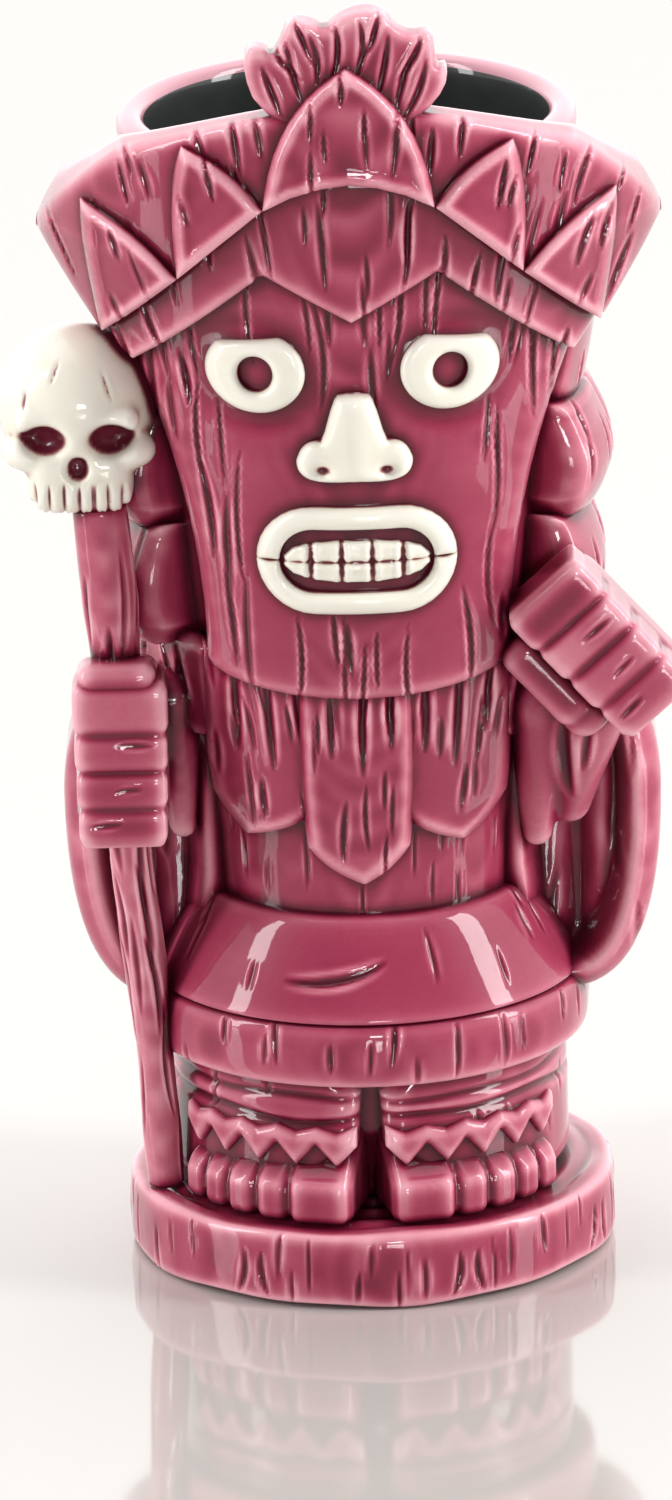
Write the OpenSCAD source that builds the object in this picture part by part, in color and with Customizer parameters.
// Tiki mug: a round cup dressed as a masked figure on a log plinth.
// +Z is up, the front faces -Y, and the origin is the centre of the plinth's underside.
// Every applied piece is luted on: its back is the surface of the piece that it sits on.

/* [Plinth] */
// Diameter of the plinth
plinth_d = 72; // [68:1:90]
// Height of the plinth
plinth_h = 12; // [8:1:18]
// Rounding of the plinth's two outer edges
plinth_round = 1.6; // [0.5:0.1:3]

/* [Heights] */
// From the plinth's top to the lower edge of the skirt's hem
leg_h = 21; // [16:0.5:28]
// From the hem's lower edge to the waist
skirt_h = 24; // [18:0.5:30]
// From the waist to the chin
torso_h = 38; // [30:0.5:48]
// From the chin to the brow
face_h = 48; // [40:0.5:58]
// From the brow to the rim
crown_h = 29; // [26:0.5:36]

/* [Cup] */
// Outer radius of the cup at its floor
floor_r = 23; // [20:0.5:24]
// Outer radius of the cup at the waist
waist_r = 22; // [18:0.5:24]
// Outer radius of the cup at the chin
chin_r = 27; // [24:0.5:29]
// Outer radius of the cup at the brow
brow_r = 31.5; // [28:0.5:34]
// Outer radius of the cup at the rim
rim_r = 33.5; // [30:0.5:36]
// Thickness of the cup's wall
wall = 4; // [3:0.1:5.5]
// Thickness of the cup's floor
floor_t = 4; // [3:0.5:6]

/* [Legs and skirt] */
// Outer radius of the trouser legs
leg_r = 29; // [25.5:0.5:30.5]
// Gap between the legs
leg_gap = 2; // [1:0.5:5]
// How far out the toes reach from the plinth's axis
toe_reach = 31.5; // [30:0.5:34]
// Height of the feet
foot_h = 6; // [4:0.5:8]
// Thickness of the zigzag cuffs
cuff_t = 1.8; // [1:0.1:2.5]
// Outer radius of the hem band
hem_r = 33; // [32:0.5:37]
// Height of the hem band
hem_h = 10; // [6:0.5:13]
// Outer radius of the skirt at the waist
skirt_top_r = 24.5; // [24.5:0.5:28]

/* [Face and headdress] */
// How far the mask stands out of the cup
mask_relief = 6; // [4:0.5:8]
// Width of the mask at the chin
chin_w = 44; // [38:0.5:50]
// Width of the mask at the brow
mask_w = 68; // [60:0.5:74]
// How far the brow band stands out of the cup
band_relief = 8.2; // [6:0.1:10]
// Width of the brow band
band_w = 73; // [70:0.5:78]
// Width of the fan across its corners
fan_w = 92; // [84:0.5:100]
// Thickness of the fan
fan_t = 6; // [4:0.5:8]
// How far the leaves stand out of the fan
leaf_relief = 2; // [1:0.1:3]
// Height of the fan's top above the rim
fan_rise = 14; // [8:0.5:18]
// Height of the crest's top above the rim
crest_rise = 26; // [22:0.5:30]
// How far the face's glazed features stand out of the mask
feature_relief = 1.6; // [0.8:0.1:2.5]

/* [Arms and staff] */
// Radius of the staff at its top
staff_top_r = 4.1; // [3:0.1:5]
// Radius of the staff at its foot
staff_foot_r = 2.5; // [1.5:0.1:3.5]
// Radius of the skull's cranium
skull_r = 12; // [10:0.5:14]
// How far out the sleeves reach from the plinth's axis
sleeve_reach = 44; // [42:0.5:50]
// Width of a closed fist across its fingers
fist_w = 14; // [12:0.5:16]
// Thickness of one finger
finger_t = 6.2; // [5:0.1:7]

/* [Hidden] */
$fn = 96;
eps = 0.01;
far = 80;

// Levels, from the floor up.
hem_z = plinth_h + leg_h;
hem_top_z = hem_z + hem_h;
waist_z = hem_z + skirt_h;
chin_z = waist_z + torso_h;
brow_z = chin_z + face_h;
rim_z = brow_z + crown_h;
foot_top_z = plinth_h + foot_h;
cuff_top_z = foot_top_z + 6;
cuff_h = 4.5;

// The cup's outside as [height, radius], read by lookup().
cup_table = [[plinth_h, floor_r], [waist_z, waist_r], [chin_z, chin_r], [brow_z, brow_r], [rim_z, rim_r]];
cup_levels = [for (row = cup_table) row[0]];
function cup_r(z) = lookup(z, cup_table);

// The brow band's upper edge is an arch.
band_top_z = rim_z + 2.5;
band_end_z = brow_z + 4;
// Part of the edge's whole drop, by the distance from the middle as a part of the half width.
band_drop = [[0, 0], [0.17, 0.03], [0.34, 0.15], [0.55, 0.4], [0.77, 0.69], [1, 1]];
function band_edge_z(x) = band_top_z - (band_top_z - band_end_z) * lookup(abs(x) / (band_w / 2), band_drop);
zigzag = [[-0.5 * band_w + 4.5, brow_z - 1], [-12.5, brow_z + 15.5], [0, brow_z + 8.5],
          [12.5, brow_z + 15.5], [0.5 * band_w - 4.5, brow_z - 1]];

// The fan is a flared shell about an axis a little behind the cup's own.
fan_axis_y = 4;
fan_corner_z = band_end_z + 14;
fan_top_z = rim_z + fan_rise;
fan_shoulder = [0.71 * fan_w / 2, rim_z + 4];
fan_foot_r = band_w / 2 + 5;
fan_head_r = fan_w / 2 + 3;
fan_table = [[brow_z - 2, fan_foot_r], [fan_corner_z, fan_foot_r + 0.7 * (fan_head_r - fan_foot_r)],
             [rim_z + crest_rise + 1, fan_head_r]];
fan_levels = [for (row = fan_table) row[0]];
function fan_r(z) = lookup(z, fan_table);
fan_fill_w = 44;
fan_back = -5;

hair_gap_angle = 62;
hair_tiers = [["hair_top", brow_z - 13, rim_z - 7, 4.5, 3.5], ["hair_middle", brow_z - 30, brow_z - 13, 8.5, 5.5],
              ["hair_low", chin_z, brow_z - 30, 9, 7]];

// The staff runs from the plinth's edge to the skull.
staff_foot = [-(plinth_d / 2 - 5.5), -11, plinth_h];
staff_top = [-(cup_r(brow_z) + 5.5), -20.5, chin_z + 22];
skull_c = staff_top + [-3, 4, 17];
function staff_part(z) = (z - staff_foot[2]) / (staff_top[2] - staff_foot[2]);
function staff_at(z) = staff_foot + (staff_top - staff_foot) * staff_part(z);
function staff_r(z) = staff_foot_r + (staff_top_r - staff_foot_r) * staff_part(z);

fist_left_c = [-35, -17, chin_z - 13.5];
fist_right_c = [35, -22, chin_z + 3.5];
fist_right_turn = 48;
palm_d = 12;
fist_len = 4 * finger_t;

// ---------- helpers ----------

function bezier(a, b, c, n = 8) = [for (i = [0:n]) let(t = i / n) a * (1 - t) * (1 - t) + b * 2 * t * (1 - t) + c * t * t];
function mirror_x(points) = [for (i = [len(points) - 1:-1:0]) [-points[i][0], points[i][1]]];
function levels_between(z0, z1, levels) = concat([z0], [for (z = levels) if (z > z0 + eps && z < z1 - eps) z], [z1]);

// A leaf from a base to a tip, with two bowed sides.
module leaf_2d(left, right, tip, bow) {
    side = [left, (left + tip) / 2 + [-bow[0], 0.25 * (tip[1] - left[1])], tip];
    other = [tip, (right + tip) / 2 + [bow[1], 0.25 * (tip[1] - right[1])], right];
    polygon(concat(bezier(side[0], side[1], side[2]), bezier(other[0], other[1], other[2])));
}

// A round bar along +Z, from the origin up, with a domed foot.
module bullet(r, h) {
    rotate_extrude() polygon(concat([[0, 0]], [for (a = [15:15:90]) [r * sin(a), r - r * cos(a)]], [[r, h], [0, h]]));
}

// An outline drawn in X and Z, pushed back along Y from the front.
module front_prism(back = 0) {
    translate([0, back, 0]) rotate([90, 0, 0]) linear_extrude(height = far) children();
}

// The solid inside the cup's outside, swollen by a relief that may change with height.
module cup_swell(z0, z1, low = 0, high = 0) {
    rotate_extrude()
        polygon(concat([[0, z0]],
            [for (z = levels_between(z0, z1, cup_levels)) [cup_r(z) + low + (high - low) * (z - z0) / (z1 - z0), z]],
            [[0, z1]]));
}

module cup_outside() {
    cup_swell(plinth_h, rim_z);
}

// The solid inside the fan's outer face, drawn in by a depth.
module fan_swell(depth = 0) {
    translate([0, fan_axis_y, 0]) rotate_extrude()
        polygon(concat([[0, fan_levels[0]]], [for (row = fan_table) [row[1] - depth, row[0]]],
            [[0, fan_levels[len(fan_levels) - 1]]]));
}

// A sector of a ring about Z, between two angles measured from the front towards +X.
module sector(a0, a1) {
    n = max(2, ceil(abs(a1 - a0) / 30));
    linear_extrude(height = 2.8 * far)
        polygon(concat([[0, 0]], [for (i = [0:n]) let(a = a0 + (a1 - a0) * i / n) 2 * far * [sin(a), -cos(a)]]));
}

// ---------- plinth and cup ----------

module plinth() {
    r = plinth_d / 2;
    q = plinth_round;
    color("#9c3a62")
        rotate_extrude() polygon(concat(
            [[0, 0]],
            [for (a = [-90:30:0]) [r - q + q * cos(a), q + q * sin(a)]],
            [for (a = [0:30:90]) [r - q + q * cos(a), plinth_h - q + q * sin(a)]],
            [[0, plinth_h]]));
}

module cup() {
    lip_z = rim_z - wall / 2;
    floor_z = plinth_h + floor_t;
    inside = concat([floor_z], [for (z = cup_levels) if (z > floor_z && z < rim_z) z], [lip_z]);
    color("#e3a0b4")
        rotate_extrude() union() {
            polygon(concat([[0, plinth_h]], [for (z = levels_between(plinth_h, lip_z, cup_levels)) [cup_r(z), z]],
                [for (i = [len(inside) - 1:-1:0]) [cup_r(inside[i]) - wall - (i == 0 ? 2 : 0), inside[i]]],
                [[0, floor_z]]));
            translate([cup_r(lip_z) - wall / 2, lip_z]) circle(wall / 2);
        }
}

// ---------- legs and skirt ----------

toe_angles = [16, 28, 37, 45.5, 54.5];
toe_sizes = [3.7, 2.3, 2.3, 2.2, 2.1];
foot_span = [5, 62];
toe_len = 9;

module foot_slab(side) {
    intersection() {
        translate([0, 0, plinth_h]) cylinder(r = leg_r - 1.5, h = foot_h);
        sector(side * foot_span[0], side * foot_span[1]);
    }
}

module foot(side) {
    toe_h = foot_h - 1.2;
    color("#a8446a") difference() {
        union() {
            foot_slab(side);
            translate([0, 0, plinth_h]) linear_extrude(height = toe_h)
                for (i = [0:len(toe_angles) - 1])
                    rotate(side * toe_angles[i]) {
                        translate([0, toe_sizes[i] - toe_reach]) circle(toe_sizes[i]);
                        translate([-toe_sizes[i], toe_sizes[i] - toe_reach])
                            square([2 * toe_sizes[i], toe_len - toe_sizes[i]]);
                    }
        }
        cup_outside();
    }
}

module leg(side) {
    color("#8f3158") difference() {
        intersection() {
            translate([0, 0, plinth_h]) cylinder(r = leg_r, h = hem_top_z - plinth_h);
            translate([side > 0 ? leg_gap / 2 : -far - leg_gap / 2, -far, 0]) cube([far, 2 * far, far]);
        }
        cup_outside();
        intersection() {
            translate([0, 0, plinth_h - 1]) cylinder(r = far, h = foot_h + 1);
            sector(side * foot_span[0], side * foot_span[1]);
        }
    }
}

module cuff(side) {
    notch_n = 4;
    step = (foot_span[1] - foot_span[0]) / notch_n;
    color("#c26b8a") difference() {
        intersection() {
            translate([0, 0, cuff_top_z - cuff_h]) cylinder(r = leg_r + cuff_t, h = cuff_h);
            sector(side * foot_span[0], side * foot_span[1]);
        }
        cylinder(r = leg_r, h = far);
        for (i = [0:notch_n - 1])
            rotate([0, 0, side * (foot_span[0] + (i + 0.5) * step)])
                front_prism() translate([0, cuff_top_z - cuff_h])
                    polygon([[-3, -1], [3, -1], [0, 3]]);
    }
}

module skirt_body() {
    rotate_extrude() polygon([[0, hem_z], [hem_r - 1, hem_z], [hem_r, hem_z + 1.5], [hem_r - 0.8, hem_top_z],
                              [hem_r - 1.2, hem_top_z], [skirt_top_r, waist_z], [0, waist_z]]);
}

module skirt() {
    color("#b04a72") difference() {
        intersection() {
            skirt_body();
            translate([-far, -far, hem_top_z]) cube(2 * far);
        }
        cup_outside();
    }
}

module hem() {
    color("#a23f68") difference() {
        rotate_extrude() polygon([[leg_r, hem_z], [hem_r - 1, hem_z], [hem_r, hem_z + 1.5],
                                  [hem_r - 0.8, hem_top_z], [leg_r, hem_top_z]]);
        // the nook that the staff stands in
        translate(staff_at(hem_z + hem_h / 2) - [0, 0, hem_h]) cylinder(r = staff_r(hem_top_z) + 0.5, h = 2 * hem_h);
    }
}

// ---------- ruff of leaves under the mask ----------

ruff_relief = 3;
ruff_top_z = chin_z + 4;
module ruff_outline(i) {
    // [left, right, tip x, tip z above the waist]
    rows = [[-8, 6, 0, 6], [-22, -7, -17.5, 12], [5.5, 21, 15, 11], [-34, -17, -25, 25], [17, 34, 23, 24.5]];
    row = rows[i];
    tip = [row[2], waist_z + row[3]];
    mid = (ruff_top_z + tip[1]) / 2;
    polygon(concat([[row[0], ruff_top_z]], bezier([row[0], mid], [row[0], tip[1] + 1], tip),
        bezier(tip, [row[1], tip[1] + 1], [row[1], mid]), [[row[1], ruff_top_z]]));
}

module ruff_swell() {
    cup_swell(waist_z, ruff_top_z, ruff_relief, ruff_relief);
}

module ruff_leaf(i) {
    color("#b5557a") difference() {
        intersection() {
            ruff_swell();
            front_prism() difference() {
                ruff_outline(i);
                mask_outline();
                if (i > 0) ruff_outline(0);
                if (i > 2) ruff_outline(i - 2);
            }
        }
        cup_outside();
        sector(hair_gap_angle, 180);
        sector(-hair_gap_angle, -180);
    }
}

// ---------- mask and face ----------

function mask_half(z) = chin_w / 2 + (mask_w - chin_w) / 2 * pow(max(0, (z - chin_z) / (brow_z + 4 - chin_z)), 2.2);
chin_drop = 2.5;
module mask_outline() {
    side = [for (i = [0:8]) let(z = chin_z + 2 + (brow_z + 2 - chin_z) * i / 8) [mask_half(z), z]];
    half = concat(bezier([0, chin_z - chin_drop], [chin_w / 2 - 5, chin_z - chin_drop + 0.5], [chin_w / 2 - 0.7, chin_z + 1], 5),
        side, [[14, brow_z + 18]]);
    polygon(concat(half, mirror_x(half)));
}

module face_swell(extra = 0) {
    cup_swell(chin_z - 4, rim_z + 1, mask_relief + extra, mask_relief + extra + 0.6);
}

module mask() {
    color("#a5446b") difference() {
        intersection() {
            face_swell();
            front_prism(-8) difference() {
                mask_outline();
                band_outline();
            }
        }
        cup_outside();
    }
}

module feature(tall = 1) {
    color("#f3efdf") difference() {
        intersection() {
            face_swell(feature_relief * tall);
            front_prism(-8) children();
        }
        face_swell();
    }
}

eye_x = 14;
eye_z = chin_z + 48.5;
eye_w = 14.5;
eye_h = 12;
pupil_r = 2.7;
module eye(side) {
    feature() translate([side * eye_x, eye_z]) difference() {
        intersection() {
            scale([eye_w / eye_h, 1]) circle(eye_h / 2);
            translate([-eye_w, -eye_w]) square([2 * eye_w, eye_w + 0.36 * eye_h]);
        }
        circle(pupil_r);
    }
}

nose_foot_z = chin_z + 32.5;
nose_h = 13;
module nose_outline() {
    translate([0, nose_foot_z]) {
        polygon([[-6, 0], [6, 0], [2.6, nose_h], [-2.6, nose_h]]);
        for (side = [-1, 1]) translate([side * 5.6, 2.8]) circle(3);
    }
}

module nose() {
    feature(1.7) nose_outline();
}

mouth_z = chin_z + 20;
mouth_w = 29;
mouth_h = 16.5;
lip_t = 3.4;
module mouth_outline(inset = 0) {
    r = mouth_h / 2;
    for (side = [-1, 1]) translate([side * (mouth_w / 2 - r), mouth_z]) circle(r - inset);
    translate([-(mouth_w / 2 - r), mouth_z - r + inset]) square([mouth_w - mouth_h, mouth_h - 2 * inset]);
}

module upper_lip() {
    feature() intersection() {
        difference() {
            mouth_outline();
            mouth_outline(lip_t);
        }
        translate([-far, mouth_z]) square([2 * far, far]);
    }
}

module lower_lip() {
    feature() intersection() {
        difference() {
            mouth_outline();
            mouth_outline(lip_t);
        }
        translate([-far, mouth_z - far]) square([2 * far, far]);
    }
}

teeth_n = 5;
tooth_gap = 0.8;
teeth_h = 6.8;
module teeth() {
    pitch = (mouth_w - 2 * lip_t) / teeth_n;
    color("#f3efdf") difference() {
        feature(0.6) intersection() {
            mouth_outline(lip_t);
            translate([-mouth_w / 2, mouth_z - teeth_h / 2]) square([mouth_w, teeth_h]);
        }
        difference() {
            front_prism(-8)
                for (i = [1:teeth_n - 1])
                    translate([(i - teeth_n / 2) * pitch - tooth_gap / 2, mouth_z - teeth_h]) square([tooth_gap, 2 * teeth_h]);
            face_swell(0.25 * feature_relief);
        }
    }
}

// ---------- headdress ----------

module band_outline() {
    half = band_w / 2;
    n = 12;
    top = [for (i = [0:n]) let(x = half - i * band_w / n) [x, band_edge_z(x)]];
    polygon(concat(zigzag, top));
}

module brow_band() {
    color("#b04d74") difference() {
        intersection() {
            cup_swell(brow_z - 6, rim_z + 2, band_relief, band_relief + 0.8);
            front_prism(-8) band_outline();
        }
        cup_outside();
        translate([0, 0, rim_z - eps]) cylinder(r = rim_r, h = far);
    }
}

module fan_outline() {
    half = fan_w / 2;
    corner = [half - 0.5, fan_corner_z];
    edge = concat(bezier(corner, [half - 2, fan_corner_z + 5], fan_shoulder, 4),
        bezier(fan_shoulder, [12, fan_top_z], [0, fan_top_z], 6));
    n = 12;
    polygon(concat([for (i = [0:n]) let(x = (i / n - 0.5) * band_w) [x, band_edge_z(x)]],
        [[half, fan_corner_z - 1.5]], edge, [for (i = [len(edge) - 2:-1:0]) [-edge[i][0], edge[i][1]]],
        [[-half, fan_corner_z - 1.5]]));
}

// The fan's own depth: a shell, filled back to the cup across its middle.
module fan_depth() {
    difference() {
        fan_swell();
        difference() {
            fan_swell(fan_t);
            translate([-fan_fill_w / 2, -far, 0]) cube([fan_fill_w, far - 22, 3 * far]);
        }
    }
}

module fan() {
    color("#a8446a") difference() {
        intersection() {
            fan_depth();
            front_prism(fan_back) difference() {
                fan_outline();
                crest_outline();
            }
        }
        cup_outside();
        translate([0, 0, rim_z - eps]) cylinder(r = rim_r, h = far);
        cup_swell(brow_z - 6, rim_z + 2, 0, 0);
    }
}

module leaf_outline(i) {
    // Leaves from the middle outwards; the last two are mirrored for the other side.
    side = (i == 2 || i == 4) ? 1 : -1;
    inner = 12.3;
    outer = 24.5;
    if (i == 0)
        leaf_2d([-inner, band_edge_z(inner)], [inner, band_edge_z(inner)], [0, rim_z + crest_rise - 7.2], [4.2, 4.2]);
    else scale([-side, 1]) {
        if (i < 3)
            leaf_2d([-outer, band_edge_z(outer)], [-inner, band_edge_z(inner)], [-outer + 1.2, rim_z + 6], [1.6, 1.8]);
        else
            leaf_2d([-band_w / 2 + 0.4, band_end_z + 0.8], [-outer, band_edge_z(outer)],
                [-band_w / 2 - 2, fan_corner_z + 6.2], [1.2, 1.8]);
    }
}

module fan_leaf(i) {
    color("#b5557a") difference() {
        intersection() {
            fan_swell(-leaf_relief);
            front_prism(-4) difference() {
                leaf_outline(i);
                band_outline();
                if (i > 0) leaf_outline(0);
            }
        }
        fan_swell();
    }
}

crest_bumps = [[-10.8, 18.5, 2.8], [-5.6, 21.6, 3.2], [2.2, 22, 4], [9, 20.6, 3], [10.8, 15.4, 2.8]];
module crest_outline() {
    translate([0, rim_z])
        polygon([[-6, 8], [6, 8], [10.5, 12], [11, 16], [8, 20], [2, 23], [-6, 22], [-10, 19], [-11, 12]]);
    for (b = crest_bumps) translate([b[0], rim_z + crest_rise - 26 + b[1]]) circle(b[2]);
}

module crest() {
    color("#c26b8a") difference() {
        intersection() {
            fan_swell();
            front_prism() crest_outline();
        }
        fan_swell(fan_t);
        cup_outside();
    }
}

// ---------- hair and cape at the back ----------

module hair_swell(i) {
    tier = hair_tiers[i];
    low = tier[1];
    high = tier[2];
    bulge_z = low + 0.45 * (high - low);
    rotate_extrude() polygon([[0, low], [cup_r(low) + tier[4] - 2.5, low], [cup_r(bulge_z) + tier[3], bulge_z],
                              [cup_r(high) + tier[4] - 2, high], [0, high]]);
}

module hair(i) {
    color("#96365c") difference() {
        hair_swell(i);
        cup_outside();
        sector(-hair_gap_angle, hair_gap_angle);
        front_prism(-8) mask_outline();
        front_prism(-8) band_outline();
    }
}

cape_top_z = chin_z;
cape_low_z = hem_top_z + 3;
cape_angle = 104;
module cape() {
    color("#8f3158") difference() {
        rotate_extrude() polygon([[0, cape_low_z], [hem_r + 1.5, cape_low_z], [hem_r + 0.5, waist_z],
                                  [cup_r(cape_top_z) + 7, cape_top_z], [0, cape_top_z]]);
        cup_outside();
        skirt_body();
        sector(-cape_angle, cape_angle);
    }
}

// ---------- arms ----------

sleeve_top_z = chin_z - 5;
sleeve_low_z = hem_z + 5;
sleeve_front = staff_at(sleeve_low_z)[1] + staff_r(sleeve_low_z) + 0.2;
sleeve_back = 10;
sleeve_wall = 4.5;
sleeve_pocket = 7;
module sleeve_outline(inset = 0) {
    inner = waist_r - 4 + 2 * inset;
    reach = sleeve_reach - inset;
    mid_z = waist_z + 14;
    low_z = sleeve_low_z + inset;
    top_z = sleeve_top_z - 1.5 * inset;
    polygon(concat([[inner, low_z + 12]],
        bezier([inner + 6, low_z + 2], [reach, low_z - 3], [reach, mid_z]),
        bezier([reach, mid_z], [reach, top_z - 7], [reach - 7, top_z]),
        [[inner, top_z]]));
}

module sleeve(side) {
    color("#99385f") difference() {
        translate([0, sleeve_back, 0]) rotate([90, 0, 0]) linear_extrude(height = sleeve_back - sleeve_front)
            scale([side, 1]) sleeve_outline();
        translate([0, sleeve_front + sleeve_pocket, 0]) rotate([90, 0, 0]) linear_extrude(height = far)
            scale([side, 1]) sleeve_outline(sleeve_wall);
        cup_outside();
        skirt_body();
        sector(side * cape_angle, side * 180);
    }
}

// A closed hand: four fingers side by side along Z, and the palm behind them.
module fist_shape() {
    translate([-fist_w / 2, 0, 0]) rotate([90, 0, 90]) linear_extrude(height = fist_w) intersection() {
        union() {
            translate([-palm_d / 2, -fist_len / 2]) square([palm_d, fist_len]);
            for (i = [0:3]) translate([-palm_d / 2, (i - 1.5) * finger_t]) circle(finger_t / 2 + 0.15);
        }
        translate([-palm_d, -fist_len / 2]) square([2 * palm_d, fist_len]);
    }
}

module place_hand(side) {
    translate(side < 0 ? fist_left_c : fist_right_c) rotate([0, side < 0 ? 0 : fist_right_turn - 90, 0]) children();
}

module fist(side) {
    color("#b04a72") difference() {
        place_hand(side) fist_shape();
        ruff_swell();
        if (side < 0) staff_solid();
        else {
            hair_swell(2);
            front_prism(-8) mask_outline();
        }
    }
}

thumb_w = 5.5;
thumb_h = 2.6;
module thumb_shape(side) {
    if (side < 0)
        translate([1 - fist_w / 2, -palm_d / 2 - 2.5, fist_len / 2]) cube([fist_w - 2, 7, thumb_h]);
    else
        translate([-fist_w / 2 - thumb_w, 1 - palm_d / 2, 2 - fist_len / 2]) cube([thumb_w, palm_d - 2, fist_len - 5]);
}

module thumb(side) {
    color("#c26b8a") difference() {
        place_hand(side) thumb_shape(side);
        ruff_swell();
        if (side < 0) staff_solid();
        else {
            hair_swell(2);
            front_prism(-8) mask_outline();
        }
    }
}

// The wrists reach from the floor of each sleeve's opening to the closed hand.
wrist_left = [[-33, 0, chin_z - 17], [-34, -13, chin_z - 14], 6, 5];
wrist_right = [[31, -6, chin_z - 30], [34.5, -18.5, chin_z - 6], 5, 5.5];
module forearm(side) {
    w = side < 0 ? wrist_left : wrist_right;
    color("#8f3158") difference() {
        rod(w[0], w[1], w[2], w[3]);
        translate([-far, sleeve_front + sleeve_pocket, 0]) cube([2 * far, far, 2 * far]);
        place_hand(side) fist_shape();
        place_hand(side) thumb_shape(side);
        ruff_swell();
    }
}

// ---------- staff and skull ----------

// A tapered round bar from one point to another.
module rod(a, b, r1, r2) {
    d = b - a;
    translate(a) rotate([0, acos(d[2] / norm(d)), atan2(d[1], d[0])]) rotate(37) cylinder(r1 = r1, r2 = r2, h = norm(d));
}

module staff_solid() {
    rod(staff_foot, staff_top, staff_foot_r, staff_top_r);
}

module staff() {
    color("#8b2f55") difference() {
        staff_solid();
        cylinder(r = far, h = plinth_h);
        skull_shape();
        hair_swell(1);
        hair_swell(2);
        ruff_swell();
    }
}

module skull_shape() {
    translate(skull_c) {
        sphere(r = skull_r);
        translate([0, -2, -0.75 * skull_r]) cylinder(r1 = 0.6 * skull_r, r2 = 0.75 * skull_r, h = skull_r, center = true);
    }
}

module skull() {
    color("#f3efdf") difference() {
        skull_shape();
        translate(skull_c) {
            for (side = [-1, 1]) translate([side * 0.4 * skull_r, -skull_r, -0.12 * skull_r]) sphere(r = 0.24 * skull_r);
            translate([0, -skull_r, -0.55 * skull_r]) sphere(r = 0.13 * skull_r);
        }
        for (i = [0:1]) hair_swell(i);
        front_prism(-8) mask_outline();
        front_prism(-8) band_outline();
    }
}

plinth();
cup();
foot(-1);  // foot_left
foot(1);  // foot_right
leg(-1);  // leg_left
leg(1);  // leg_right
cuff(-1);  // cuff_left
cuff(1);  // cuff_right
skirt();
hem();
ruff_leaf(0);  // ruff_leaf_middle
ruff_leaf(1);  // ruff_leaf_left
ruff_leaf(2);  // ruff_leaf_right
ruff_leaf(3);  // ruff_leaf_outer_left
ruff_leaf(4);  // ruff_leaf_outer_right
mask();
eye(-1);  // eye_left
eye(1);  // eye_right
nose();
upper_lip();
lower_lip();
teeth();
brow_band();
fan();
fan_leaf(0);  // fan_leaf_middle
fan_leaf(1);  // fan_leaf_inner_left
fan_leaf(2);  // fan_leaf_inner_right
fan_leaf(3);  // fan_leaf_outer_left
fan_leaf(4);  // fan_leaf_outer_right
crest();
hair(0);  // hair_top
hair(1);  // hair_middle
hair(2);  // hair_low
cape();
sleeve(-1);  // sleeve_left
sleeve(1);  // sleeve_right
forearm(-1);  // forearm_left
forearm(1);  // forearm_right
fist(-1);  // fist_left
fist(1);  // fist_right
thumb(-1);  // thumb_left
thumb(1);  // thumb_right
staff();
skull();
